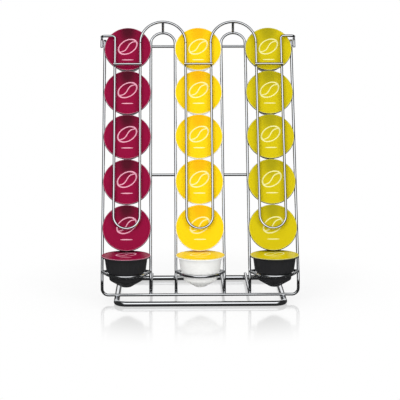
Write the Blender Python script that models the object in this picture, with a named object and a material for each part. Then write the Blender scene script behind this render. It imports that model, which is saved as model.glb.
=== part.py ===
# A chrome wire rack that feeds three leaning columns of coffee capsules.
# Units are metres. X runs to the right, Y to the back and Z up, from the table.
# Each column is a chute: two rails behind the capsules' flanges, and a U-shaped
# guide in front of their lids. The lowest capsule stands upright in a cradle.
import math

import bpy
from mathutils import Vector

MM = 0.001

# Driving sizes of the rack
CLEARANCE = 0.3 * MM          # gap between pieces that touch
WIRE_RADIUS = 1.6 * MM        # rails, guides, arches and ties
ROD_RADIUS = 2.9 * MM         # the heavier base loop
COLUMN_PITCH = 81.4 * MM      # from one column's middle to the next
RAIL_SPACING = 53.4 * MM      # between the two rails of a column
GUIDE_SPACING = 29.1 * MM     # between the two legs of a front guide
LEAN = math.radians(28)       # how far the chutes lean back from upright
KNEE_HEIGHT = 25.0 * MM       # where the upright foot of a rail meets its leaning line
KNEE_BEND = 42.0 * MM
CORNER_BEND = 7.0 * MM        # the outer frame's lower corners
FOOT_BEND = 6.0 * MM          # where an inner rail turns into its floor runner
BASE_HALF_WIDTH = 92.0 * MM   # base loop, to the rod's middle
BASE_FRONT = 25.0 * MM        # how far the loop reaches in front of the rails
BASE_BACK = 109.0 * MM        # and behind them
BASE_BEND = 12.0 * MM
RUNNER_OVERHANG = 2.0 * MM    # runner ends past the rear of the loop

# Heights along the leaning line, measured from the knee
HOOK_RISE = 290.0 * MM        # top of the outer guide legs
HOOK_DROP = 11.0 * MM         # the hook's short leg beside the outer rail
HOOK_BEND = 3.2 * MM
FRONT_ARCH_OVER_HOOK = 17.9 * MM
REAR_ARCH_OVER_HOOK = 7.0 * MM
UPPER_TIE_UNDER_HOOK = 8.5 * MM
GUIDE_TIE_UNDER_HOOK = 36.8 * MM
GUIDE_FOOT_RISE = 56.0 * MM   # lowest point of the U guides
LOWER_TIE_RISE = 122.9 * MM

# Driving sizes of a capsule
FLANGE_RADIUS = 27.0 * MM
FLANGE_THICKNESS = 1.2 * MM
LID_RADIUS = 26.6 * MM
LID_THICKNESS = 0.5 * MM
SHOULDER_RADIUS = 23.7 * MM   # body just below the flange
LEDGE_RADIUS = 21.4 * MM      # body at the ledge that sits in the cradle
LEDGE_DEPTH = 16.3 * MM
SKIRT_RADIUS = 19.4 * MM      # lower body, below the ledge
HIP_RADIUS = 18.4 * MM
HIP_DEPTH = 25.5 * MM
NOSE_RADIUS = 5.0 * MM
CUP_DEPTH = 33.5 * MM
CAPSULES_IN_CHUTE = 5
STANDING_LID_HEIGHT = 52.6 * MM   # top of the lowest capsule's lid
STANDING_FORWARD = 3.0 * MM       # its axis in front of the frame's foot
GUIDE_SLACK = 1.5 * MM            # play between a lid and the front guide

BEND_STEPS = 6                # segments in a quarter turn
TURN_SEGMENTS = 24            # sides of a capsule
WIRE_BEVEL_STEPS = 2          # eight-sided wires
CRADLE_STEPS = 5              # segments in a quarter turn of a cradle

SIDES = {"left": -1, "middle": 0, "right": 1}

# Sizes that follow from the driving ones
TOUCHING_WIRES = 2 * WIRE_RADIUS + CLEARANCE
WIRE_SIDES = 2 * (WIRE_BEVEL_STEPS + 2)
FLAT_SHARE = math.cos(math.pi / WIRE_SIDES)    # from a wire's middle to its flats, over its radius
ROD_HEIGHT = ROD_RADIUS * FLAT_SHARE           # middle of the base loop above the table
WIRE_HEIGHT = 2 * ROD_HEIGHT + CLEARANCE + WIRE_RADIUS * FLAT_SHARE   # wires lying on the loop
HALF_RAILS = RAIL_SPACING / 2
HALF_GUIDES = GUIDE_SPACING / 2
FLANGE_SEAT = WIRE_RADIUS + CLEARANCE          # flange's back face, in front of the rails
LID_TOP = FLANGE_THICKNESS + CLEARANCE + LID_THICKNESS
GUIDE_PLANE = FLANGE_SEAT + LID_TOP + GUIDE_SLACK + WIRE_RADIUS
CAPSULE_PITCH = 2 * FLANGE_RADIUS + CLEARANCE
FRONT_ARCH_RISE = HOOK_RISE + FRONT_ARCH_OVER_HOOK
REAR_ARCH_RISE = HOOK_RISE + REAR_ARCH_OVER_HOOK
UPPER_TIE_RISE = HOOK_RISE - UPPER_TIE_UNDER_HOOK
GUIDE_TIE_RISE = HOOK_RISE - GUIDE_TIE_UNDER_HOOK
FRONT_ARCH_RADIUS = (COLUMN_PITCH - GUIDE_SPACING) / 2
REAR_ARCH_RADIUS = (COLUMN_PITCH - RAIL_SPACING) / 2
STANDING_FLANGE = STANDING_LID_HEIGHT - LID_TOP
CRADLE_HEIGHT = STANDING_FLANGE - LEDGE_DEPTH - CLEARANCE - WIRE_RADIUS
CRADLE_RADIUS = LEDGE_RADIUS + WIRE_RADIUS / 3
# An inner rail's foot bend nests on the back of the front bar
INNER_FOOT_BACK = math.sqrt((FOOT_BEND + TOUCHING_WIRES) ** 2 - FOOT_BEND**2) - FOOT_BEND

ALONG = Vector((0, math.sin(LEAN), math.cos(LEAN)))      # up the chute
OUTWARD = Vector((0, -math.cos(LEAN), math.sin(LEAN)))   # out of the rail plane, to the front
KNEE = Vector((0, 0, KNEE_HEIGHT))


def on_chute(x, outward, rise):
    """A point given by its place across, its height off the rail plane and its rise."""
    return Vector((x, 0, 0)) + KNEE + outward * OUTWARD + rise * ALONG


def knee_at(back):
    """Where a rail standing this far back meets the leaning rail plane."""
    return KNEE_HEIGHT + back / math.tan(LEAN)


def bend(before, corner, after, radius, steps):
    """The points of an arc that rounds one corner of a wire."""
    to_before = (before - corner).normalized()
    to_after = (after - corner).normalized()
    half = to_before.angle(to_after) / 2
    middle = corner + (to_before + to_after).normalized() * radius / math.sin(half)
    start = corner + to_before * radius / math.tan(half) - middle
    end = corner + to_after * radius / math.tan(half) - middle
    turn = start.angle(end)
    count = max(2, math.ceil(steps * turn / (math.pi / 2)))
    return [
        middle
        + (start * math.sin(turn * (1 - i / count)) + end * math.sin(turn * i / count))
        / math.sin(turn)
        for i in range(count + 1)
    ]


def rounded(corners, radii, closed=False, steps=BEND_STEPS):
    """A wire's middle line through its corners, each inner one bent to its radius."""
    points = [] if closed else [corners[0]]
    inner = range(len(corners)) if closed else range(1, len(corners) - 1)
    for i, radius in zip(inner, radii):
        after = corners[(i + 1) % len(corners)]
        points += bend(corners[i - 1], corners[i], after, radius, steps)
    if not closed:
        points.append(corners[-1])
    kept = points[:1]
    for point in points[1:]:
        if (point - kept[-1]).length > CLEARANCE:
            kept.append(point)
    return kept


def material(name, colour, roughness, metallic):
    made = bpy.data.materials.new(name)
    made.use_nodes = True
    shader = made.node_tree.nodes["Principled BSDF"]
    shader.inputs["Base Color"].default_value = (*colour, 1)
    shader.inputs["Roughness"].default_value = roughness
    shader.inputs["Metallic"].default_value = metallic
    return made


def wire(name, points, finish, rack, radius=WIRE_RADIUS, closed=False):
    """A round wire with flat cut ends, or a closed loop. One flat of it faces down."""
    curve = bpy.data.curves.new(name, "CURVE")
    curve.dimensions = "3D"
    curve.twist_mode = "MINIMUM"
    curve.bevel_depth = radius
    curve.bevel_resolution = WIRE_BEVEL_STEPS
    curve.use_fill_caps = not closed
    spline = curve.splines.new("POLY")
    spline.points.add(len(points) - 1)
    for slot, point in zip(spline.points, points):
        slot.co = point.to_4d()
        slot.tilt = math.pi / WIRE_SIDES
    spline.use_cyclic_u = closed
    spline.use_smooth = True
    curve.materials.append(finish)
    made = bpy.data.objects.new(name, curve)
    bpy.context.collection.objects.link(made)
    made.parent = rack
    return made


def turned_mesh(name, profile, finish):
    """A solid of revolution about local Z, from (radius, height) pairs, top to bottom."""
    points = []
    for radius, height in profile:
        for i in range(TURN_SEGMENTS):
            angle = 2 * math.pi * i / TURN_SEGMENTS
            points.append((radius * math.cos(angle), radius * math.sin(angle), height))
    faces = [list(range(TURN_SEGMENTS))]
    for ring in range(len(profile) - 1):
        top = ring * TURN_SEGMENTS
        low = top + TURN_SEGMENTS
        for i in range(TURN_SEGMENTS):
            j = (i + 1) % TURN_SEGMENTS
            faces.append([top + j, top + i, low + i, low + j])
    last = (len(profile) - 1) * TURN_SEGMENTS
    faces.append([last + i for i in reversed(range(TURN_SEGMENTS))])
    mesh = bpy.data.meshes.new(name)
    mesh.from_pydata(points, [], faces)
    mesh.materials.append(finish)
    mesh.shade_smooth()
    mesh.set_sharp_from_angle(angle=math.radians(30))
    return mesh


def cup_mesh(name, finish):
    """A filled capsule cup. Its local origin is the middle of the flange's back face."""
    profile = [
        (FLANGE_RADIUS, FLANGE_THICKNESS),
        (FLANGE_RADIUS, 0),
        (SHOULDER_RADIUS, 0),
        (LEDGE_RADIUS, -LEDGE_DEPTH),
        (SKIRT_RADIUS, -LEDGE_DEPTH),
        (HIP_RADIUS, -HIP_DEPTH),
        (NOSE_RADIUS, -CUP_DEPTH),
    ]
    return turned_mesh(name, profile, finish)


def lid_mesh(name, finish):
    """The printed foil disc on top of a cup's flange."""
    foot = FLANGE_THICKNESS + CLEARANCE
    return turned_mesh(name, [(LID_RADIUS, LID_TOP), (LID_RADIUS, foot)], finish)


def pivot(name, rack, where):
    """An empty that carries what moves together, on the axis it moves about or along."""
    made = bpy.data.objects.new(name, None)
    bpy.context.collection.objects.link(made)
    made.location = where
    made.parent = rack
    return made


def place(name, mesh, carrier, where, tilt):
    made = bpy.data.objects.new(name, mesh)
    bpy.context.collection.objects.link(made)
    made.location = where - carrier.location
    made.rotation_euler = (tilt, 0, 0)
    made.parent = carrier


def outer_frame(chrome, rack):
    """Both outer rails and the front bar between them, one bent wire."""
    side = COLUMN_PITCH + HALF_RAILS
    top = HOOK_RISE - WIRE_RADIUS - CLEARANCE
    left = [
        on_chute(-side, 0, top),
        on_chute(-side, 0, 0),
        Vector((-side, 0, WIRE_HEIGHT)),
    ]
    right = [Vector((-point.x, point.y, point.z)) for point in reversed(left)]
    bends = [KNEE_BEND, CORNER_BEND, CORNER_BEND, KNEE_BEND]
    wire("outer_frame", rounded(left + right, bends), chrome, rack)


def inner_hoop(side, middle, chrome, rack):
    """Two inner rails joined by the rear arch, each turning back along the floor."""
    half = REAR_ARCH_RADIUS
    left = [
        Vector((middle - half, BASE_BACK + RUNNER_OVERHANG, WIRE_HEIGHT)),
        Vector((middle - half, INNER_FOOT_BACK, WIRE_HEIGHT)),
        Vector((middle - half, INNER_FOOT_BACK, knee_at(INNER_FOOT_BACK))),
        on_chute(middle - half, 0, REAR_ARCH_RISE),
    ]
    right = [Vector((2 * middle - point.x, point.y, point.z)) for point in reversed(left)]
    bends = [FOOT_BEND, KNEE_BEND, half, half, KNEE_BEND, FOOT_BEND]
    wire(f"inner_hoop_{side}", rounded(left + right, bends), chrome, rack)


def front_guide(side, middle, chrome, rack):
    """The U in front of a column's lids. An outer leg ends in a hook over the outer rail."""
    spring = FRONT_ARCH_RISE - FRONT_ARCH_RADIUS - CLEARANCE / 2
    legs = {}
    for hand in (-1, 1):
        x = middle + hand * HALF_GUIDES
        if side != "middle" and hand == SIDES[side]:
            rail = middle + hand * (HALF_RAILS + TOUCHING_WIRES)
            corners = [
                on_chute(rail, 0, HOOK_RISE - HOOK_DROP),
                on_chute(rail, 0, HOOK_RISE),
                on_chute(rail, GUIDE_PLANE, HOOK_RISE),
                on_chute(x, GUIDE_PLANE, HOOK_RISE),
            ]
            legs[hand] = (corners, [HOOK_BEND] * 3)
        else:
            legs[hand] = ([on_chute(x, GUIDE_PLANE, spring)], [])
    foot = [on_chute(middle + hand * HALF_GUIDES, GUIDE_PLANE, GUIDE_FOOT_RISE) for hand in (-1, 1)]
    corners = legs[-1][0] + foot + legs[1][0][::-1]
    bends = legs[-1][1] + [HALF_GUIDES, HALF_GUIDES] + legs[1][1][::-1]
    wire(f"front_guide_{side}", rounded(corners, bends), chrome, rack)


def front_arch(side, middle, chrome, rack):
    """The arch that carries on one column's guide into the next one's."""
    spring = FRONT_ARCH_RISE - FRONT_ARCH_RADIUS + CLEARANCE / 2
    ends = [middle - FRONT_ARCH_RADIUS, middle + FRONT_ARCH_RADIUS]
    corners = [
        on_chute(ends[0], GUIDE_PLANE, spring),
        on_chute(ends[0], GUIDE_PLANE, FRONT_ARCH_RISE),
        on_chute(ends[1], GUIDE_PLANE, FRONT_ARCH_RISE),
        on_chute(ends[1], GUIDE_PLANE, spring),
    ]
    bends = [FRONT_ARCH_RADIUS - CLEARANCE / 2] * 2
    wire(f"front_arch_{side}", rounded(corners, bends), chrome, rack)


def arch_strut(side, middle, chrome, rack):
    """The short wire between the crowns of the front and the rear arch."""
    front = on_chute(middle, GUIDE_PLANE, FRONT_ARCH_RISE)
    rear = on_chute(middle, 0, REAR_ARCH_RISE)
    inset = (rear - front).normalized() * (WIRE_RADIUS + CLEARANCE)
    wire(f"arch_strut_{side}", [front + inset, rear - inset], chrome, rack)


def tie(name, middle, half_length, outward, rise, chrome, rack):
    """A straight wire across two rails or two guide legs."""
    reach = half_length + WIRE_RADIUS
    ends = [on_chute(middle + hand * reach, outward, rise) for hand in (-1, 1)]
    wire(name, ends, chrome, rack)


def cradle_half(name, middle, facing, chrome, rack):
    """Half of a cradle: an arc round the cup, with straight legs butting on both rails.

    facing is -1 for the front half and 1 for the rear half.
    """
    axis = Vector((0, -STANDING_FORWARD, CRADLE_HEIGHT))
    rail = Vector((HALF_RAILS, (CRADLE_HEIGHT - KNEE_HEIGHT) * math.tan(LEAN), CRADLE_HEIGHT))
    reach = rail - axis
    bearing = math.atan2(reach.y, reach.x)
    touch = bearing + facing * math.acos(CRADLE_RADIUS / reach.length)
    tangent = axis + CRADLE_RADIUS * Vector((math.cos(touch), math.sin(touch), 0))
    leg = (rail - tangent).normalized()
    slant = abs(leg.dot(ALONG))
    stop = (WIRE_RADIUS * (1 + slant) + CLEARANCE) / math.sqrt(1 - slant**2)
    half_turn = facing * math.pi / 2 - touch
    count = math.ceil(CRADLE_STEPS * abs(half_turn) / (math.pi / 2))
    right = [rail - leg * stop]
    for i in range(count + 1):
        angle = touch + half_turn * i / count
        right.append(axis + CRADLE_RADIUS * Vector((math.cos(angle), math.sin(angle), 0)))
    left = [Vector((-point.x, point.y, point.z)) for point in reversed(right[:-1])]
    across = Vector((middle, 0, 0))
    wire(name, [point + across for point in right + left], chrome, rack)


def base_loop(chrome, rack):
    """The heavy rod the rack stands on, a closed rectangle with round corners."""
    corners = [
        Vector((-BASE_HALF_WIDTH, -BASE_FRONT, ROD_HEIGHT)),
        Vector((BASE_HALF_WIDTH, -BASE_FRONT, ROD_HEIGHT)),
        Vector((BASE_HALF_WIDTH, BASE_BACK, ROD_HEIGHT)),
        Vector((-BASE_HALF_WIDTH, BASE_BACK, ROD_HEIGHT)),
    ]
    path = rounded(corners, [BASE_BEND] * len(corners), closed=True)
    wire("base_loop", path, chrome, rack, radius=ROD_RADIUS, closed=True)


def lowest_chute_rise():
    """Rise of the lowest leaning capsule, whose cup clears the standing lid's back edge."""
    edge_back = LID_RADIUS - STANDING_FORWARD
    edge = Vector((0, edge_back, STANDING_LID_HEIGHT)) - KNEE
    slope = (SHOULDER_RADIUS - LEDGE_RADIUS) / LEDGE_DEPTH
    behind = FLANGE_SEAT - edge.dot(OUTWARD)
    cup_side = SHOULDER_RADIUS - slope * behind
    from_cup = edge.dot(ALONG) + cup_side
    flange_foot = STANDING_LID_HEIGHT - KNEE_HEIGHT - FLANGE_SEAT * math.sin(LEAN)
    from_flange = flange_foot / math.cos(LEAN) + FLANGE_RADIUS
    return max(from_cup, from_flange) + CLEARANCE


def capsules(side, middle, cup, lid, rack):
    """A column's capsules: one standing in the cradle, the others leaning in the chute.

    The standing one tips out over the front of its cradle. The others slide up the
    chute, and the last of them lifts out of the top.
    """
    standing = Vector((middle, -STANDING_FORWARD, STANDING_FLANGE))
    lip = Vector((middle, -STANDING_FORWARD - CRADLE_RADIUS, CRADLE_HEIGHT))
    first = lowest_chute_rise()
    seats = [
        on_chute(middle, FLANGE_SEAT, first + i * CAPSULE_PITCH)
        for i in range(CAPSULES_IN_CHUTE)
    ]
    tipper = pivot(f"{side}_tipper", rack, lip)
    stack = pivot(f"{side}_stack", rack, seats[0])
    top = pivot(f"{side}_top", rack, seats[-1])
    places = [(tipper, standing, 0)]
    places += [(stack, seat, math.pi / 2 - LEAN) for seat in seats[:-1]]
    places += [(top, seats[-1], math.pi / 2 - LEAN)]
    for number, (carrier, where, tilt) in enumerate(places, start=1):
        place(f"{side}_capsule_{number}_cup", cup, carrier, where, tilt)
        place(f"{side}_capsule_{number}_lid", lid, carrier, where, tilt)


def bounds(made):
    """World points that bound a piece: a mesh's own, or the corners of a wire's box."""
    if made.type == "MESH":
        return [made.matrix_world @ vertex.co for vertex in made.data.vertices]
    return [made.matrix_world @ Vector(corner) for corner in made.bound_box]


def centre_on_table(rack):
    """Moves the whole rack so that the origin is under the middle of its box."""
    bpy.context.view_layer.update()
    pieces = [made for made in rack.children_recursive if made.type != "EMPTY"]
    backs = [point.y for made in pieces for point in bounds(made)]
    rack.location.y = -(min(backs) + max(backs)) / 2


def build():
    for old in list(bpy.data.objects):
        bpy.data.objects.remove(old, do_unlink=True)
    rack = bpy.data.objects.new("rack", None)
    bpy.context.collection.objects.link(rack)
    chrome = material("chrome", (0.80, 0.80, 0.82), 0.08, 1.0)
    dark_cup = cup_mesh("dark_cup", material("dark_cup", (0.035, 0.037, 0.040), 0.42, 0.0))
    white_cup = cup_mesh("white_cup", material("white_cup", (0.86, 0.86, 0.84), 0.38, 0.0))
    magenta = material("magenta_foil", (0.36, 0.004, 0.050), 0.34, 0.2)
    yellow = material("yellow_foil", (0.93, 0.68, 0.0), 0.34, 0.2)
    lime = material("lime_foil", (0.68, 0.66, 0.01), 0.34, 0.2)
    contents = {
        "left": (dark_cup, lid_mesh("magenta_lid", magenta)),
        "middle": (white_cup, lid_mesh("yellow_lid", yellow)),
        "right": (dark_cup, lid_mesh("lime_lid", lime)),
    }

    base_loop(chrome, rack)
    outer_frame(chrome, rack)
    for side, hand in SIDES.items():
        middle = hand * COLUMN_PITCH
        front_guide(side, middle, chrome, rack)
        tie(f"guide_tie_{side}", middle, HALF_GUIDES, GUIDE_PLANE + TOUCHING_WIRES,
            GUIDE_TIE_RISE, chrome, rack)
        cradle_half(f"cradle_front_{side}", middle, -1, chrome, rack)
        cradle_half(f"cradle_rear_{side}", middle, 1, chrome, rack)
        cup, lid = contents[side]
        capsules(side, middle, cup, lid, rack)
    for side in ("left", "right"):
        middle = SIDES[side] * COLUMN_PITCH / 2
        inner_hoop(side, middle, chrome, rack)
        front_arch(side, middle, chrome, rack)
        arch_strut(side, middle, chrome, rack)
        for level, rise in (("upper", UPPER_TIE_RISE), ("lower", LOWER_TIE_RISE)):
            tie(f"{level}_tie_{side}", middle, REAR_ARCH_RADIUS, -TOUCHING_WIRES,
                rise, chrome, rack)
    centre_on_table(rack)


build()
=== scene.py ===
# Looks of the coffee capsule dispenser: a chromed wire rack and its foil-lidded capsules.
import math

import bmesh
import bpy
from mathutils import Matrix, Vector


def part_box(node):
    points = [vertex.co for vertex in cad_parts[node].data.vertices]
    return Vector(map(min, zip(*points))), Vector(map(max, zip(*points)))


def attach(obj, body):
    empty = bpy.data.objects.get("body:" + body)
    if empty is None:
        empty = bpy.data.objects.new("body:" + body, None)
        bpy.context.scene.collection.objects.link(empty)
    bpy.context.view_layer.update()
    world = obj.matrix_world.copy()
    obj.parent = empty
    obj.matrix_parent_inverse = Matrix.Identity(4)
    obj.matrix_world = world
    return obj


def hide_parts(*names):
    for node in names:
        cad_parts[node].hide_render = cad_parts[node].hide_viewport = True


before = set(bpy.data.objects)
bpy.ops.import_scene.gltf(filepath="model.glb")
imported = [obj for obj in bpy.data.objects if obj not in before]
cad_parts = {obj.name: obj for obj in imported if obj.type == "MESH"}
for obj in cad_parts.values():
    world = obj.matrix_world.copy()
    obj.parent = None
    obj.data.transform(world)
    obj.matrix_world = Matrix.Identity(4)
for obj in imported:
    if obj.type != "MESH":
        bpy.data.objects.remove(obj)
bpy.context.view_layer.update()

mm = 0.001
sides = {"left": -1, "middle": 0, "right": 1}
hardEdge = math.radians(50)     # faces that meet more sharply than this are not shaded as one
print("frame loaded:", len(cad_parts), "nodes")


# Materials

def linear(code):
    parts = [int(code[i:i + 2], 16) / 255 for i in (1, 3, 5)]     # sRGB hex to linear
    return [c / 12.92 if c <= 0.04045 else ((c + 0.055) / 1.055) ** 2.4 for c in parts] + [1]


def node(tree, kind, inputs=None, **settings):
    # inputs: an input's name or number, with a plain value or the socket that feeds it
    made = tree.nodes.new(kind)
    for name, value in settings.items():
        setattr(made, name, value)
    for name, value in (inputs or {}).items():
        if isinstance(value, bpy.types.NodeSocket):
            tree.links.new(value, made.inputs[name])
        else:
            made.inputs[name].default_value = value
    return made


def newMaterial(name, values):
    made = bpy.data.materials.new(name)
    made.use_nodes = True
    shader = made.node_tree.nodes["Principled BSDF"]
    for socket, value in values.items():
        shader.inputs[socket].default_value = value
    return made, made.node_tree, shader


grainDetail = 2.0     # octaves of noise in each grain


def grained(tree, shader, look):
    # Noise in object space varies the roughness a little and dents the surface
    place = node(tree, "ShaderNodeTexCoord")
    noise = node(tree, "ShaderNodeTexNoise",
                 {"Vector": place.outputs["Object"], "Scale": 1 / look["grain"],
                  "Detail": grainDetail})
    rough = node(tree, "ShaderNodeMapRange",
                 {"Value": noise.outputs["Fac"], "To Min": look["roughness"] - look["spread"],
                  "To Max": look["roughness"] + look["spread"]})
    tree.links.new(rough.outputs["Result"], shader.inputs["Roughness"])
    dent = node(tree, "ShaderNodeBump", {"Height": noise.outputs["Fac"], "Distance": look["depth"]})
    tree.links.new(dent.outputs["Normal"], shader.inputs["Normal"])


# In each look the roughness varies by the spread over grains of one size, which are dents of one depth
chromeLook = {"colour": "#DDDFE2", "roughness": 0.06, "spread": 0.02,
              "grain": 14 * mm, "depth": 0.008 * mm}


def polishedChrome():
    # Decorative chrome plate on drawn steel wire: a hard mirror with a faint waviness
    made, tree, shader = newMaterial("polishedChromePlate", {
        "Base Color": linear(chromeLook["colour"]), "Metallic": 1.0})
    grained(tree, shader, chromeLook)
    return made


cupLook = {"black": "#28282A", "white": "#FBFBF8", "ior": 1.49, "roughness": 0.38,
           "spread": 0.05, "grain": 0.7 * mm, "depth": 0.010 * mm}


def mouldedCup(name, colour):
    # Injection-moulded polypropylene: satin, with the fine spark-eroded grain of its tool
    made, tree, shader = newMaterial(name, {"Base Color": linear(colour), "IOR": cupLook["ior"]})
    grained(tree, shader, cupLook)
    return made


# The colours on each foil: a printed ground, pale printed ink, and a painted shade that darkens the head of
# the lid
printAndShadeColours = {
    "left": {"name": "magentaPrintedFoil", "ground": "#8E0738", "paintedShade": "#4C0A1E",
             "ink": "#EBA9BE", "rim": "#D98FA6"},
    "middle": {"name": "yellowPrintedFoil", "ground": "#FBD30F", "paintedShade": "#F4B60A",
               "ink": "#FFF1A6", "rim": "#FFF0A0"},
    "right": {"name": "limePrintedFoil", "ground": "#D1BE0A", "paintedShade": "#A69A0A",
              "ink": "#EFEBA0", "rim": "#E6E48C"},
}
# Places on the print and of the painted shade, in shares of the lid's radius: right, up, half width, half
# height, turn
printAndShadePlaces = {
    "bean": (0.0, 0.10, 0.44, 0.30, math.radians(35)),
    "rule": (0.0, -0.52, 0.26, 0.025, 0.0),
    # painted shade over the head of the lid
    "paintedShade": (0.0, 0.86, 0.62, 0.95, 0.0),
}
# The last value is how much of the painted shade's middle stays fully dark
foilLook = {"ior": 1.5, "lustre": 0.08, "roughness": 0.34, "spread": 0.04,
            "grain": 6 * mm, "depth": 0.06 * mm,
            "beanLine": 0.075, "creaseLine": 0.075, "creaseBow": 0.24, "paintedShadeCore": 0.15}


def printedFoil(colours):
    # Lacquered aluminium foil, gravure printed: its colour under a soft gloss, slightly crinkled, with
    # painted shade darkening the head of the lid
    made, tree, shader = newMaterial(colours["name"], {
        "IOR": foilLook["ior"], "Specular IOR Level": foilLook["lustre"]})
    grained(tree, shader, foilLook)
    chart = node(tree, "ShaderNodeUVMap", uv_map="print")
    spot = {}
    reach = {}
    for mark, (right, up, halfWidth, halfHeight, turn) in printAndShadePlaces.items():
        spot[mark] = node(tree, "ShaderNodeMapping", {
            "Vector": chart.outputs["UV"], "Location": (0.5 + right / 2, 0.5 + up / 2, 0),
            "Rotation": (0, 0, turn), "Scale": (halfWidth / 2, halfHeight / 2, 1)}, vector_type="TEXTURE")
        reach[mark] = node(tree, "ShaderNodeVectorMath", {0: spot[mark].outputs["Vector"]},
                           operation="LENGTH").outputs["Value"]
    bean = node(tree, "ShaderNodeSeparateXYZ", {"Vector": spot["bean"].outputs["Vector"]})
    shell = node(tree, "ShaderNodeMath", {0: reach["bean"], 1: 1.0, 2: foilLook["beanLine"]},
                 operation="COMPARE")
    phase = node(tree, "ShaderNodeMath", {0: bean.outputs["X"], 1: math.pi}, operation="MULTIPLY")
    wave = node(tree, "ShaderNodeMath", {0: phase.outputs[0]}, operation="SINE")
    bow = node(tree, "ShaderNodeMath", {0: wave.outputs[0], 1: foilLook["creaseBow"]}, operation="MULTIPLY")
    seam = node(tree, "ShaderNodeMath", {0: bean.outputs["Y"], 1: bow.outputs[0],
                                         2: foilLook["creaseLine"]}, operation="COMPARE")
    within = node(tree, "ShaderNodeMath", {0: reach["bean"], 1: 1.0}, operation="LESS_THAN")
    crease = node(tree, "ShaderNodeMath", {0: seam.outputs[0], 1: within.outputs[0]}, operation="MULTIPLY")
    rule = node(tree, "ShaderNodeMath", {0: reach["rule"], 1: 1.0}, operation="LESS_THAN")
    outline = node(tree, "ShaderNodeMath", {0: shell.outputs[0], 1: crease.outputs[0]}, operation="MAXIMUM")
    ink = node(tree, "ShaderNodeMath", {0: outline.outputs[0], 1: rule.outputs[0]}, operation="MAXIMUM")
    # Painted shade: the ground turns to the darker shade colour towards the head of the lid
    fade = node(tree, "ShaderNodeMapRange", {
        "Value": reach["paintedShade"], "From Min": foilLook["paintedShadeCore"], "From Max": 1.0,
        "To Min": 1.0, "To Max": 0.0}, interpolation_type="SMOOTHSTEP")
    ground = node(tree, "ShaderNodeMixRGB", {"Fac": fade.outputs["Result"],
                                             "Color1": linear(colours["ground"]),
                                             "Color2": linear(colours["paintedShade"])})
    printed = node(tree, "ShaderNodeMixRGB", {"Fac": ink.outputs[0], "Color1": ground.outputs["Color"],
                                              "Color2": linear(colours["ink"])})
    tree.links.new(printed.outputs["Color"], shader.inputs["Base Color"])
    return made


rimLook = {**foilLook, "roughness": 0.28, "metallic": 0.3}


def foilRim(colours):
    # The unprinted edge of the foil: thin lacquer over bright aluminium
    made, tree, shader = newMaterial(colours["name"] + "Rim", {
        "Base Color": linear(colours["rim"]), "Metallic": rimLook["metallic"]})
    grained(tree, shader, rimLook)
    return made


chrome = polishedChrome()
cups = {"left": mouldedCup("blackMouldedPolypropylene", cupLook["black"]),
        "middle": mouldedCup("whiteMouldedPolypropylene", cupLook["white"])}
cups["right"] = cups["left"]
foils = {side: (printedFoil(printAndShadeColours[side]), foilRim(printAndShadeColours[side])) for side in sides}
cupSlots = {"left": "dark_cup", "middle": "white_cup", "right": "dark_cup"}
foilSlots = {"left": "magenta_foil", "middle": "yellow_foil", "right": "lime_foil"}
print("materials ready")


# Geometry Nodes trees

def newTree(name, sockets):
    tree = bpy.data.node_groups.new(name, "GeometryNodeTree")
    for socket, kind in {"Geometry": "NodeSocketGeometry", **sockets}.items():
        tree.interface.new_socket(name=socket, in_out="INPUT", socket_type=kind)
    tree.interface.new_socket(name="Geometry", in_out="OUTPUT", socket_type="NodeSocketGeometry")
    return tree, tree.nodes.new("NodeGroupInput"), tree.nodes.new("NodeGroupOutput")


def finishTree(tree, inputs, output, geometry, rim=False):
    # Every tree ends in Realize Instances and Set Material
    real = node(tree, "GeometryNodeRealizeInstances", {"Geometry": geometry})
    painted = node(tree, "GeometryNodeSetMaterial",
                   {"Geometry": real.outputs["Geometry"], "Material": inputs.outputs["Material"]})
    if rim:
        band = node(tree, "GeometryNodeInputNamedAttribute", {"Name": "rim"}, data_type="BOOLEAN")
        painted = node(tree, "GeometryNodeSetMaterial",
                       {"Geometry": painted.outputs["Geometry"], "Selection": band.outputs["Attribute"],
                        "Material": inputs.outputs["Rim Material"]})
    tree.links.new(painted.outputs["Geometry"], output.inputs["Geometry"])


def wireTree():
    # Sweeps a round section along a wire's middle line
    tree, inputs, output = newTree("drawnWire", {
        "Radius": "NodeSocketFloat", "Sides": "NodeSocketInt", "Material": "NodeSocketMaterial"})
    section = node(tree, "GeometryNodeCurvePrimitiveCircle",
                   {"Radius": inputs.outputs["Radius"], "Resolution": inputs.outputs["Sides"]})
    swept = node(tree, "GeometryNodeCurveToMesh",
                 {"Curve": inputs.outputs["Geometry"], "Profile Curve": section.outputs["Curve"],
                  "Fill Caps": True})
    smooth = node(tree, "GeometryNodeSetShadeSmooth", {"Geometry": swept.outputs["Mesh"]})
    finishTree(tree, inputs, output, smooth.outputs["Geometry"])
    return tree


def weldTree():
    # Puts a small round weld on each point
    tree, inputs, output = newTree("spotWelds", {
        "Radius": "NodeSocketFloat", "Sides": "NodeSocketInt", "Rings": "NodeSocketInt",
        "Material": "NodeSocketMaterial"})
    bead = node(tree, "GeometryNodeMeshUVSphere",
                {"Radius": inputs.outputs["Radius"], "Segments": inputs.outputs["Sides"],
                 "Rings": inputs.outputs["Rings"]})
    smooth = node(tree, "GeometryNodeSetShadeSmooth", {"Geometry": bead.outputs["Mesh"]})
    placed = node(tree, "GeometryNodeInstanceOnPoints",
                  {"Points": inputs.outputs["Geometry"], "Instance": smooth.outputs["Geometry"]})
    finishTree(tree, inputs, output, placed.outputs["Instances"])
    return tree


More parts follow.
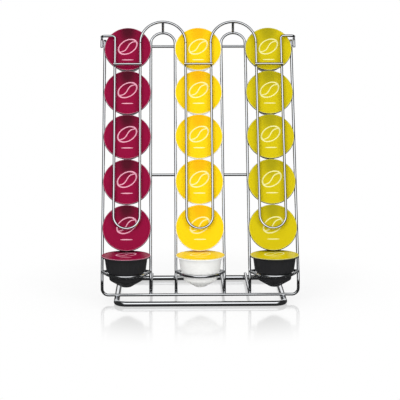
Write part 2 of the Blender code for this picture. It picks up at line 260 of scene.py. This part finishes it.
def rowTree():
    # Repeats a cup or a lid along a chute
    tree, inputs, output = newTree("capsuleRow", {
        "Count": "NodeSocketInt", "Start": "NodeSocketVector", "Step": "NodeSocketVector",
        "Turn": "NodeSocketRotation", "Material": "NodeSocketMaterial",
        "Rim Material": "NodeSocketMaterial"})
    places = node(tree, "GeometryNodeMeshLine",
                  {"Count": inputs.outputs["Count"], "Start Location": inputs.outputs["Start"],
                   "Offset": inputs.outputs["Step"]})
    placed = node(tree, "GeometryNodeInstanceOnPoints",
                  {"Points": places.outputs["Mesh"], "Instance": inputs.outputs["Geometry"],
                   "Rotation": inputs.outputs["Turn"]})
    finishTree(tree, inputs, output, placed.outputs["Instances"], rim=True)
    return tree


trees = {"wire": wireTree(), "welds": weldTree(), "row": rowTree()}


def grow(name, data, tree, values):
    # Runs a tree on a mesh or curve and keeps the result as a plain mesh object
    source = bpy.data.objects.new(name + "Source", data)
    bpy.context.collection.objects.link(source)
    modifier = source.modifiers.new("grow", "NODES")
    modifier.node_group = tree
    for item in tree.interface.items_tree:
        if item.in_out == "INPUT" and item.name in values:
            modifier[item.identifier] = values[item.name]
    depsgraph = bpy.context.evaluated_depsgraph_get()
    mesh = bpy.data.meshes.new_from_object(source.evaluated_get(depsgraph))
    mesh.name = name
    made = bpy.data.objects.new(name, mesh)
    bpy.context.collection.objects.link(made)
    bpy.data.objects.remove(source)
    return made


# Wires: the sizes that the whole rack shares, in metres, as the solids have them
rack = {
    "wireRadius": 1.6 * mm,
    "gap": 0.3 * mm,            # left between any two solids
    "columnPitch": 81.4 * mm,
    "railSpacing": 53.4 * mm,
    "lean": math.radians(28),
    "kneeHeight": 25.0 * mm,
    "kneeBend": 42.0 * mm,
    "solidSides": 8,            # the solids' wires are eight-sided
    "wireSides": 20,
    "bendSteps": 14,            # segments in a quarter turn
    "merge": 0.1 * mm,          # points of a path that lie closer become one
    "chamfer": 0.35 * mm,       # tumbled edge of a cut end
    "bite": 1.2 * mm,           # how far a welded end melts into its neighbour
}
baseRod = {"radius": 2.9 * mm, "halfWidth": 92.0 * mm, "front": 25.0 * mm, "back": 109.0 * mm,
           "bend": 12.0 * mm, "sides": 28}
hook = {"rise": 290.0 * mm, "drop": 11.0 * mm, "bend": 3.2 * mm}
guide = {"spacing": 29.1 * mm, "footRise": 56.0 * mm, "slack": 1.5 * mm}
arch = {"frontRise": 307.9 * mm, "rearRise": 297.0 * mm}
capsule = {
    "flangeRadius": 27.0 * mm,
    "flangeThickness": 1.2 * mm,
    "lidRadius": 26.6 * mm,
    "lidThickness": 0.5 * mm,
    "shoulderRadius": 23.7 * mm,
    "ledgeRadius": 21.4 * mm,
    "ledgeDepth": 16.3 * mm,
    "skirtRadius": 19.4 * mm,
    "hipRadius": 18.4 * mm,
    "hipDepth": 25.5 * mm,
    "noseRadius": 5.0 * mm,
    "cupDepth": 33.5 * mm,
    "inChute": 5,
    "standingLidHeight": 52.6 * mm,
    "standingForward": 3.0 * mm,
    "sides": 96,
    "filletSteps": 4,
}

touching = 2 * rack["wireRadius"] + rack["gap"]
flatShare = math.cos(math.pi / rack["solidSides"])
rodHeight = baseRod["radius"] * flatShare
wireHeight = 2 * rodHeight + rack["gap"] + rack["wireRadius"] * flatShare
halfRails = rack["railSpacing"] / 2
halfGuides = guide["spacing"] / 2
flangeSeat = rack["wireRadius"] + rack["gap"]
lidTop = capsule["flangeThickness"] + rack["gap"] + capsule["lidThickness"]
guidePlane = flangeSeat + lidTop + guide["slack"] + rack["wireRadius"]
frontArchRadius = (rack["columnPitch"] - guide["spacing"]) / 2
rearArchRadius = (rack["columnPitch"] - rack["railSpacing"]) / 2
standingFlange = capsule["standingLidHeight"] - lidTop
cradleHeight = standingFlange - capsule["ledgeDepth"] - rack["gap"] - rack["wireRadius"]
cradleRadius = capsule["ledgeRadius"] + rack["wireRadius"] / 3    # the cup's ledge bears on the wire

# The frame's origin lies behind the front bar: the base loop's box says how far
loopLow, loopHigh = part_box("base_loop")
barPlane = (loopLow[1] + loopHigh[1]) / 2 - (baseRod["back"] - baseRod["front"]) / 2
along = Vector((0, math.sin(rack["lean"]), math.cos(rack["lean"])))
outward = Vector((0, -math.cos(rack["lean"]), math.sin(rack["lean"])))


def at(x, y, z):
    return Vector((x, y + barPlane, z))


def onChute(x, out, rise):
    return at(x, 0, rack["kneeHeight"]) + out * outward + rise * along


def bend(before, corner, after, radius):
    # The arc that rounds one corner of a wire
    toBefore = (before - corner).normalized()
    toAfter = (after - corner).normalized()
    half = toBefore.angle(toAfter) / 2
    middle = corner + (toBefore + toAfter).normalized() * radius / math.sin(half)
    start = corner + toBefore * radius / math.tan(half) - middle
    end = corner + toAfter * radius / math.tan(half) - middle
    turn = start.angle(end)
    count = max(2, math.ceil(rack["bendSteps"] * turn / (math.pi / 2)))
    return [middle + (start * math.sin(turn * (1 - i / count)) + end * math.sin(turn * i / count))
            / math.sin(turn) for i in range(count + 1)]


def rounded(corners, radii, closed=False):
    points = [] if closed else [corners[0]]
    inner = range(len(corners)) if closed else range(1, len(corners) - 1)
    for i, radius in zip(inner, radii):
        points += bend(corners[i - 1], corners[i], corners[(i + 1) % len(corners)], radius)
    if not closed:
        points.append(corners[-1])
    kept = points[:1]
    for point in points[1:]:
        if (point - kept[-1]).length > rack["merge"]:
            kept.append(point)
    return kept


def wire(name, points, cadNode, closed=False, radius=rack["wireRadius"], sideCount=rack["wireSides"]):
    # A round wire in the place of a CAD wire, its cut ends a little rounded off
    widths = [1.0] * len(points)
    if not closed:
        first, last = points[0], points[-1]
        afterFirst = first + (points[1] - first).normalized() * rack["chamfer"]
        beforeLast = last + (points[-2] - last).normalized() * rack["chamfer"]
        tip = 1 - rack["chamfer"] / radius
        points = [first, afterFirst, *points[1:-1], beforeLast, last]
        widths = [tip, *widths, tip]
    curve = bpy.data.curves.new(name, "CURVE")
    curve.dimensions = "3D"
    spline = curve.splines.new("POLY")
    spline.points.add(len(points) - 1)
    for slot, point, width in zip(spline.points, points, widths):
        slot.co = point.to_4d()
        slot.radius = width
    spline.use_cyclic_u = closed
    made = grow(name, curve, trees["wire"], {"Radius": radius, "Sides": sideCount, "Material": chrome})
    made.data.set_sharp_from_angle(angle=hardEdge)
    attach(made, "rack")
    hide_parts(cadNode)


def baseLoop():
    front, back = -baseRod["front"], baseRod["back"]
    half = baseRod["halfWidth"]
    corners = [at(x, y, rodHeight) for x, y in ((-half, front), (half, front), (half, back), (-half, back))]
    path = rounded(corners, [baseRod["bend"]] * len(corners), closed=True)
    wire("baseLoop", path, "base_loop", True, baseRod["radius"], baseRod["sides"])


frameBend = 7.0 * mm


def outerFrame():
    side = rack["columnPitch"] + halfRails
    top = hook["rise"] - rack["wireRadius"] - rack["gap"]
    left = [onChute(-side, 0, top), onChute(-side, 0, 0), at(-side, 0, wireHeight)]
    right = [Vector((-point.x, point.y, point.z)) for point in reversed(left)]
    bends = [rack["kneeBend"], frameBend, frameBend, rack["kneeBend"]]
    wire("outerFrame", rounded(left + right, bends), "outer_frame")


runner = {"bend": 6.0 * mm, "overhang": 2.0 * mm}


def innerHoop(side, middle):
    nest = (runner["bend"] + touching) ** 2 - runner["bend"] ** 2     # the foot lies in the bar's corner
    back = math.sqrt(nest) - runner["bend"]
    knee = rack["kneeHeight"] + back / math.tan(rack["lean"])
    left = [
        at(middle - rearArchRadius, baseRod["back"] + runner["overhang"], wireHeight),
        at(middle - rearArchRadius, back, wireHeight),
        at(middle - rearArchRadius, back, knee),
        onChute(middle - rearArchRadius, 0, arch["rearRise"]),
    ]
    right = [Vector((2 * middle - point.x, point.y, point.z)) for point in reversed(left)]
    half = [runner["bend"], rack["kneeBend"], rearArchRadius]
    wire(side + "InnerHoop", rounded(left + right, half + half[::-1]), "inner_hoop_" + side)


def frontGuide(side, middle):
    spring = arch["frontRise"] - frontArchRadius
    legs = {}
    for hand in (-1, 1):
        x = middle + hand * halfGuides
        if side != "middle" and hand == sides[side]:
            rail = middle + hand * (halfRails + touching)
            corners = [onChute(rail, 0, hook["rise"] - hook["drop"]),
                       onChute(rail, 0, hook["rise"]),
                       onChute(rail, guidePlane, hook["rise"]),
                       onChute(x, guidePlane, hook["rise"])]
            legs[hand] = (corners, [hook["bend"]] * 3)
        else:
            legs[hand] = ([onChute(x, guidePlane, spring + rack["bite"])], [])
    foot = [onChute(middle + hand * halfGuides, guidePlane, guide["footRise"]) for hand in (-1, 1)]
    bends = legs[-1][1] + [halfGuides, halfGuides] + legs[1][1][::-1]
    path = rounded(legs[-1][0] + foot + legs[1][0][::-1], bends)
    wire(side + "FrontGuide", path, "front_guide_" + side)


def frontArch(side, middle):
    ends = [middle - frontArchRadius, middle + frontArchRadius]
    spring = arch["frontRise"] - frontArchRadius - rack["bite"]
    corners = [onChute(ends[0], guidePlane, spring), onChute(ends[0], guidePlane, arch["frontRise"]),
               onChute(ends[1], guidePlane, arch["frontRise"]), onChute(ends[1], guidePlane, spring)]
    path = rounded(corners, [frontArchRadius - rack["gap"] / 2] * 2)
    wire(side + "FrontArch", path, "front_arch_" + side)


tieRises = {"upper": 281.5 * mm, "lower": 122.9 * mm, "guide": 253.2 * mm}


def straightWires():
    # Struts and ties; what comes back is where each tie is welded on
    welds = []
    for side in ("left", "right"):
        middle = sides[side] * rack["columnPitch"] / 2
        crown = onChute(middle, guidePlane, arch["frontRise"])
        rear = onChute(middle, 0, arch["rearRise"])
        wire(side + "ArchStrut", [crown, rear], "arch_strut_" + side)
        reach = rearArchRadius + rack["wireRadius"]
        for level in ("upper", "lower"):
            ends = [onChute(middle + hand * reach, -touching, tieRises[level]) for hand in (-1, 1)]
            wire(side + level.capitalize() + "Tie", ends, f"{level}_tie_{side}")
            welds += [onChute(middle + hand * rearArchRadius, -touching / 2, tieRises[level])
                      for hand in (-1, 1)]
    for side, column in sides.items():
        middle = column * rack["columnPitch"]
        reach = halfGuides + rack["wireRadius"]
        ends = [onChute(middle + hand * reach, guidePlane + touching, tieRises["guide"])
                for hand in (-1, 1)]
        wire(side + "GuideTie", ends, "guide_tie_" + side)
        welds += [onChute(middle + hand * halfGuides, guidePlane + touching / 2, tieRises["guide"])
                  for hand in (-1, 1)]
    return welds


def cradleHalf(side, middle, facing):
    # An arc round the cup's ledge, with straight legs welded to both rails
    name = "front" if facing < 0 else "rear"
    axis = at(0, -capsule["standingForward"], cradleHeight)
    rail = at(halfRails, (cradleHeight - rack["kneeHeight"]) * math.tan(rack["lean"]), cradleHeight)
    reach = rail - axis
    touch = math.atan2(reach.y, reach.x) + facing * math.acos(cradleRadius / reach.length)
    halfTurn = facing * math.pi / 2 - touch
    count = math.ceil(rack["bendSteps"] * abs(halfTurn) / (math.pi / 2))
    angles = [touch + halfTurn * i / count for i in range(count + 1)]
    arc = [axis + cradleRadius * Vector((math.cos(a), math.sin(a), 0)) for a in angles]
    leg = (rail - arc[0]).normalized()
    right = [rail - leg * rack["bite"]] + arc
    left = [Vector((-point.x, point.y, point.z)) for point in reversed(right[:-1])]
    path = [point + Vector((middle, 0, 0)) for point in right + left]
    wire(f"{side}{name.capitalize()}Cradle", path, f"cradle_{name}_{side}")


# Welds, and where two of them sit along the hook's short leg
weld = {"radius": 1.35 * mm, "sides": 16, "rings": 10, "hookShares": (0.5, 0.8)}


def weldPoints():
    # Where wires cross: floor runners and feet, and the hooks beside the outer rails
    points = []
    nestLean = math.acos(runner["bend"] / (runner["bend"] + touching))
    for column in (-1, 0, 1):
        for hand in (-1, 1):
            x = column * rack["columnPitch"] + hand * halfRails
            if abs(x) > rack["columnPitch"]:
                points += [onChute(x + hand * touching / 2, 0, hook["rise"] - share * hook["drop"])
                           for share in weld["hookShares"]]
                continue
            points.append(at(x, baseRod["back"], rodHeight * 2 + rack["gap"] / 2))
            points.append(at(x, math.sin(nestLean) * touching / 2,
                             wireHeight + math.cos(nestLean) * touching / 2))
    for hand in (-1, 1):
        points.append(at(hand * baseRod["halfWidth"], 0, rodHeight * 2 + rack["gap"] / 2))
    return points


baseLoop()
outerFrame()
for side, hand in sides.items():
    frontGuide(side, hand * rack["columnPitch"])
    for facing in (-1, 1):
        cradleHalf(side, hand * rack["columnPitch"], facing)
for side in ("left", "right"):
    innerHoop(side, sides[side] * rack["columnPitch"] / 2)
    frontArch(side, sides[side] * rack["columnPitch"] / 2)
welds = weldPoints() + straightWires()
spots = bpy.data.meshes.new("weldSpots")
spots.from_pydata(welds, [], [])
beads = grow("spotWelds", spots, trees["welds"], {
    "Radius": weld["radius"], "Sides": weld["sides"], "Rings": weld["rings"], "Material": chrome})
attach(beads, "rack")
print("rack built:", len(welds), "welds")


# Capsules

def fillet(profile, radii):
    # Rounds the corners of a turned profile, a list of (radius, height) pairs
    points = [profile[0]]
    for before, corner, after, radius in zip(profile, profile[1:], profile[2:], radii):
        a, b, c = (Vector((*p, 0)) for p in (before, corner, after))
        if radius == 0:
            points.append(corner)
            continue
        toA, toC = (a - b).normalized(), (c - b).normalized()
        half = toA.angle(toC) / 2
        middle = b + (toA + toC).normalized() * radius / math.sin(half)
        start = b + toA * radius / math.tan(half) - middle
        end = b + toC * radius / math.tan(half) - middle
        turn = start.angle(end)
        steps = capsule["filletSteps"]
        for i in range(steps + 1):
            mixed = start * math.sin(turn * (1 - i / steps)) + end * math.sin(turn * i / steps)
            point = middle + mixed / math.sin(turn)
            points.append((point.x, point.y))
    return points + [profile[-1]]


def turnedMesh(name, profile, rimFrom=None):
    # A solid turned about Z, its profile from the top of the axis down the outside
    mesh = bpy.data.meshes.new(name)
    work = bmesh.new()
    chart = work.loops.layers.uv.new("print")
    count = capsule["sides"]
    rings = []
    for radius, height in profile:
        if radius == 0:
            rings.append([work.verts.new((0, 0, height))])
            continue
        rings.append([work.verts.new((radius * math.cos(2 * math.pi * i / count),
                                      radius * math.sin(2 * math.pi * i / count), height))
                      for i in range(count)])
    band = work.faces.layers.bool.new("rim")
    for ring, (upper, lower) in enumerate(zip(rings, rings[1:])):
        for i in range(count):
            j = (i + 1) % count
            if len(upper) == 1:
                corners = [upper[0], lower[i], lower[j]]
            elif len(lower) == 1:
                corners = [upper[j], upper[i], lower[0]]
            else:
                corners = [upper[j], upper[i], lower[i], lower[j]]
            face = work.faces.new(corners)
            face.smooth = True
            face[band] = rimFrom is not None and ring >= rimFrom
            for loop in face.loops:
                spot = loop.vert.co / (2 * capsule["lidRadius"])
                loop[chart].uv = (spot.x + 0.5, spot.y + 0.5)
    work.to_mesh(mesh)
    work.free()
    mesh.set_sharp_from_angle(angle=hardEdge)
    return mesh


# The moulded cup's rounded corners, from the flange down to the nose
cupFillets = {"rim": 0.35 * mm, "root": 0.8 * mm, "ledge": 0.5 * mm, "hip": 2.6 * mm, "nose": 5.0 * mm}


def cupMesh():
    c = capsule
    profile = [
        (0, c["flangeThickness"]),
        (c["flangeRadius"], c["flangeThickness"]),
        (c["flangeRadius"], 0),
        (c["shoulderRadius"], 0),
        (c["ledgeRadius"], -c["ledgeDepth"]),
        (c["skirtRadius"], -c["ledgeDepth"]),
        (c["hipRadius"], -c["hipDepth"]),
        (c["noseRadius"], -c["cupDepth"]),
        (0, -c["cupDepth"]),
    ]
    radii = [cupFillets[corner] for corner in ("rim", "rim", "root", "ledge", "ledge", "hip", "nose")]
    return turnedMesh("cup", fillet(profile, radii))


lid = {
    "seal": 2.6 * mm,           # width of the sealed margin
    "groove": 0.22 * mm,        # depth of the groove inside it
    "crown": 0.12 * mm,         # how far the membrane bulges
    "crownRings": 6,
    "edgeFillet": 0.18 * mm,
    "bareRim": 0.3 * mm,        # unprinted edge
    "rimTolerance": 0.02 * mm,
}


def lidMesh():
    # A sealed flat margin, a shallow groove inside it and a membrane that bulges a little
    foot = capsule["flangeThickness"]
    seal = lidTop - lid["crown"]
    inner = capsule["lidRadius"] - lid["seal"]
    rings = lid["crownRings"]
    crown = [(inner * i / rings, lidTop - lid["crown"] * (i / rings) ** 2) for i in range(rings)]
    margin = [
        (inner, seal - lid["groove"]),
        (inner + 2 * lid["groove"], seal),
        (capsule["lidRadius"] - lid["bareRim"], seal),
        (capsule["lidRadius"], seal),
        (capsule["lidRadius"], foot),
        (0, foot),
    ]
    radii = [0] * (rings - 1) + [lid["groove"], lid["groove"], 0, lid["edgeFillet"], 0]
    profile = fillet(crown + margin, radii)
    rimStart = capsule["lidRadius"] - lid["bareRim"] - lid["rimTolerance"]
    rimFrom = next(i for i, point in enumerate(profile) if point[0] > rimStart)
    return turnedMesh("lid", profile, rimFrom)


def lowestRise():
    # Rise of the lowest capsule in a chute, whose cup clears the standing lid's back edge
    c = capsule
    edge = Vector((0, c["lidRadius"] - c["standingForward"], c["standingLidHeight"] - rack["kneeHeight"]))
    slope = (c["shoulderRadius"] - c["ledgeRadius"]) / c["ledgeDepth"]
    fromCup = edge.dot(along) + c["shoulderRadius"] - slope * (flangeSeat - edge.dot(outward))
    foot = c["standingLidHeight"] - rack["kneeHeight"] - flangeSeat * math.sin(rack["lean"])
    fromFlange = foot / math.cos(rack["lean"]) + c["flangeRadius"]
    return max(fromCup, fromFlange) + rack["gap"]


pitch = 2 * capsule["flangeRadius"] + rack["gap"]


def row(side, body, first, count, start, tilt):
    # The cups and the lids of one body, each as one piece
    numbers = range(first, first + count)
    shapes = {"cup": (cupMesh, cups[side], cups[side], cupSlots[side]),
              "lid": (lidMesh, *foils[side], foilSlots[side])}
    for kind, (shape, main, rim, slot) in shapes.items():
        plural = kind.capitalize() + ("s" if count > 1 else "")
        made = grow(side + body.capitalize() + plural, shape(), trees["row"], {
            "Count": count, "Start": start, "Step": along * pitch, "Turn": (tilt, 0, 0),
            "Material": main, "Rim Material": rim})
        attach(made, f"{side}_{body}")
        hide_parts(*[f"{side}_capsule_{number}_{kind}" for number in numbers])


inStack = capsule["inChute"] - 1
leaning = math.pi / 2 - rack["lean"]
for side, hand in sides.items():
    middle = hand * rack["columnPitch"]
    row(side, "standing", 1, 1, at(middle, -capsule["standingForward"], standingFlange), 0)
    row(side, "stack", 2, inStack, onChute(middle, flangeSeat, lowestRise()), leaning)
    row(side, "top", 2 + inStack, 1, onChute(middle, flangeSeat, lowestRise() + inStack * pitch), leaning)
print("capsules filled")


# Floor, light and camera
table = {
    "size": 6.0,
    "colour": "#F2F2F2",
    "roughness": 0.10,          # of its reflections
    "fade": (0.13, 0.27),       # from the table round the rack to plain white
    "paleness": 0.75,           # how much of the plain white shows round the rack
    "ior": 1.49,
    "darkFront": (250 * mm, 600 * mm),    # in reflections it turns from dark to white in between
}
mirrored = {
    # What the chrome reflects: a dark room, a softbox above the camera and the white backdrop.
    # Their places are parts of a direction of length 1: across, deep or high
    "room": 0.03,
    "softbox": 1.45,
    "backdrop": 1.0,
    "softboxHeights": (0.10, 0.28, 0.80, 0.92),
    "softboxHalfWidth": (0.36, 0.66),
    "backdropDepth": (0.72, 0.92),
    "backdropFoot": (0.10, 0.19),
    "turn": (-0.1, 0.1),        # from the camera's half of the room to the backdrop's
}


def floor():
    half = table["size"] / 2
    mesh = bpy.data.meshes.new("tableTop")
    mesh.from_pydata([(-half, -half, 0), (half, -half, 0), (half, half, 0), (-half, half, 0)], [],
                     [(0, 1, 2, 3)])
    made = bpy.data.objects.new("tableTop", mesh)
    bpy.context.collection.objects.link(made)
    # Glossy white acrylic sheet: it holds the rack's shadow and a faint reflection of it
    material, tree, shader = newMaterial("glossyWhiteAcrylic", {
        "Base Color": linear(table["colour"]), "Roughness": 1.0, "Specular IOR Level": 0.0})
    rays = node(tree, "ShaderNodeLightPath")
    place = node(tree, "ShaderNodeTexCoord")
    away = node(tree, "ShaderNodeVectorMath", {0: place.outputs["Object"]}, operation="LENGTH")
    fade = node(tree, "ShaderNodeMapRange", {
        "Value": away.outputs["Value"], "From Min": table["fade"][0], "From Max": table["fade"][1]},
        interpolation_type="SMOOTHSTEP")
    seen = node(tree, "ShaderNodeMath", {0: rays.outputs["Is Camera Ray"],
                                         1: rays.outputs["Is Transmission Ray"]}, operation="MAXIMUM")
    shown = node(tree, "ShaderNodeMath", {0: seen.outputs[0], 1: fade.outputs["Result"]},
                 operation="MULTIPLY")
    share = node(tree, "ShaderNodeMath", {0: shown.outputs[0], 1: rays.outputs["Is Glossy Ray"]},
                 operation="MAXIMUM")
    pale = node(tree, "ShaderNodeMath", {0: seen.outputs[0], 1: table["paleness"]}, operation="MULTIPLY")
    axes = node(tree, "ShaderNodeSeparateXYZ", {"Vector": place.outputs["Object"]})
    front = node(tree, "ShaderNodeMapRange", {
        "Value": axes.outputs["Y"], "From Min": barPlane + table["darkFront"][0],
        "From Max": barPlane + table["darkFront"][1], "To Min": mirrored["room"], "To Max": 1.0})
    glow = node(tree, "ShaderNodeMapRange", {
        "Value": rays.outputs["Is Glossy Ray"], "To Min": 1.0, "To Max": front.outputs["Result"]})
    white = node(tree, "ShaderNodeEmission", {"Strength": glow.outputs["Result"]})
    sheet = node(tree, "ShaderNodeMixShader", {0: pale.outputs[0], 1: shader.outputs["BSDF"],
                                               2: white.outputs["Emission"]})
    angle = node(tree, "ShaderNodeFresnel", {"IOR": table["ior"]})
    gloss = node(tree, "ShaderNodeBsdfGlossy", {
        "Color": linear("#FFFFFF"), "Roughness": table["roughness"]})
    glazed = node(tree, "ShaderNodeMixShader", {0: angle.outputs["Fac"], 1: sheet.outputs["Shader"],
                                                2: gloss.outputs["BSDF"]})
    mixed = node(tree, "ShaderNodeMixShader", {0: share.outputs[0], 1: glazed.outputs["Shader"],
                                               2: white.outputs["Emission"]})
    tree.links.new(mixed.outputs["Shader"], tree.nodes["Material Output"].inputs["Surface"])
    mesh.materials.append(material)


skyStrength = 0.75     # the even light of the room on all that isn't a reflection


def room():
    world = bpy.data.worlds.new("studioRoom")
    world.use_nodes = True
    tree = world.node_tree
    tree.nodes.clear()
    rays = node(tree, "ShaderNodeLightPath")
    place = node(tree, "ShaderNodeTexCoord")
    axes = node(tree, "ShaderNodeSeparateXYZ", {"Vector": place.outputs["Generated"]})
    low, lowFull, highFull, high = mirrored["softboxHeights"]
    foot = node(tree, "ShaderNodeMapRange", {
        "Value": axes.outputs["Z"], "From Min": low, "From Max": lowFull,
        "To Max": mirrored["softbox"]}, interpolation_type="SMOOTHSTEP")
    head = node(tree, "ShaderNodeMapRange", {
        "Value": axes.outputs["Z"], "From Min": highFull, "From Max": high,
        "To Min": foot.outputs["Result"], "To Max": 0.0}, interpolation_type="SMOOTHSTEP")
    across = node(tree, "ShaderNodeMath", {0: axes.outputs["X"]}, operation="ABSOLUTE")
    wide = node(tree, "ShaderNodeMapRange", {
        "Value": across.outputs[0], "From Min": mirrored["softboxHalfWidth"][0],
        "From Max": mirrored["softboxHalfWidth"][1], "To Min": head.outputs["Result"],
        "To Max": mirrored["room"]}, interpolation_type="SMOOTHSTEP")
    ahead = node(tree, "ShaderNodeMapRange", {
        "Value": axes.outputs["Y"], "From Min": mirrored["turn"][0],
        "From Max": mirrored["turn"][1], "To Min": wide.outputs["Result"],
        "To Max": mirrored["room"]}, interpolation_type="SMOOTHSTEP")
    screen = node(tree, "ShaderNodeMapRange", {
        "Value": axes.outputs["Z"], "From Min": mirrored["backdropFoot"][0],
        "From Max": mirrored["backdropFoot"][1], "To Min": mirrored["room"],
        "To Max": mirrored["backdrop"]}, interpolation_type="SMOOTHSTEP")
    behind = node(tree, "ShaderNodeMapRange", {
        "Value": axes.outputs["Y"], "From Min": mirrored["backdropDepth"][0],
        "From Max": mirrored["backdropDepth"][1], "To Min": ahead.outputs["Result"],
        "To Max": screen.outputs["Result"]}, interpolation_type="SMOOTHSTEP")
    soft = node(tree, "ShaderNodeBackground", {"Color": linear("#FFFFFF"), "Strength": skyStrength})
    plain = node(tree, "ShaderNodeBackground", {"Color": linear("#FFFFFF"), "Strength": 1.0})
    shine = node(tree, "ShaderNodeBackground", {"Color": linear("#FFFFFF"),
                                                "Strength": behind.outputs["Result"]})
    glossy = node(tree, "ShaderNodeMixShader", {0: rays.outputs["Is Glossy Ray"],
                                                1: soft.outputs[0], 2: shine.outputs[0]})
    clear = node(tree, "ShaderNodeMath", {0: rays.outputs["Is Camera Ray"],
                                          1: rays.outputs["Is Transmission Ray"]}, operation="MAXIMUM")
    final = node(tree, "ShaderNodeMixShader", {0: clear.outputs[0], 1: glossy.outputs[0],
                                               2: plain.outputs[0]})
    out = node(tree, "ShaderNodeOutputWorld")
    tree.links.new(final.outputs[0], out.inputs["Surface"])
    bpy.context.scene.world = world


# Each lamp: where it hangs, its width and height in metres, its power in watts
lampPlaces = {
    "keySoftbox": ((-0.95, -1.25, 1.05), 0.8, 1.0, 9.0),
    "fillSoftbox": ((1.15, -0.95, 0.65), 0.5, 1.1, 5.0),
    "topSoftbox": ((0.0, 0.2, 1.5), 1.4, 0.9, 4.0),
}
lampAim = Vector((0, 0, 0.14))     # about the middle of the rack


def lamps():
    for name, (where, width, height, power) in lampPlaces.items():
        lamp = bpy.data.lights.new(name, "AREA")
        lamp.shape = "RECTANGLE"
        lamp.size, lamp.size_y = width, height
        lamp.energy = power
        made = bpy.data.objects.new(name, lamp)
        made.location = where
        made.rotation_euler = (lampAim - Vector(where)).to_track_quat("-Z", "Y").to_euler()
        made.visible_glossy = False     # the softbox in the world stands for them there
        bpy.context.collection.objects.link(made)


photoView = {
    # Fitted to the wires' places in the photograph; places are measured from the front bar's plane
    "right": -27.7 * mm, "back": -1617.2 * mm, "height": 375.7 * mm,
    "yaw": math.radians(-0.974), "pitch": math.radians(9.230), "roll": math.radians(-0.080),
    "focalPixels": 1500.8, "framePixels": 400, "sensor": 36.0,
    "clip": (0.05, 20),         # nearest and farthest it sees, in metres
}


def camera():
    v = photoView
    level = Vector((-math.sin(v["yaw"]), math.cos(v["yaw"]), 0))
    side = Vector((math.cos(v["yaw"]), math.sin(v["yaw"]), 0))
    up = Vector((0, 0, 1))
    forward = level * math.cos(v["pitch"]) - up * math.sin(v["pitch"])
    upright = level * math.sin(v["pitch"]) + up * math.cos(v["pitch"])
    right = side * math.cos(v["roll"]) + upright * math.sin(v["roll"])
    upright = right.cross(forward)
    lens = bpy.data.cameras.new("camera")
    lens.sensor_width = v["sensor"]
    lens.lens = v["focalPixels"] / v["framePixels"] * v["sensor"]
    lens.clip_start, lens.clip_end = v["clip"]
    made = bpy.data.objects.new("camera", lens)
    turn = Matrix((right, upright, -forward)).transposed().to_4x4()
    made.matrix_world = Matrix.Translation(at(v["right"], v["back"], v["height"])) @ turn
    bpy.context.collection.objects.link(made)
    bpy.context.scene.camera = made


floor()
room()
lamps()
camera()
bpy.context.scene.view_settings.view_transform = "Standard"
print("studio lit")
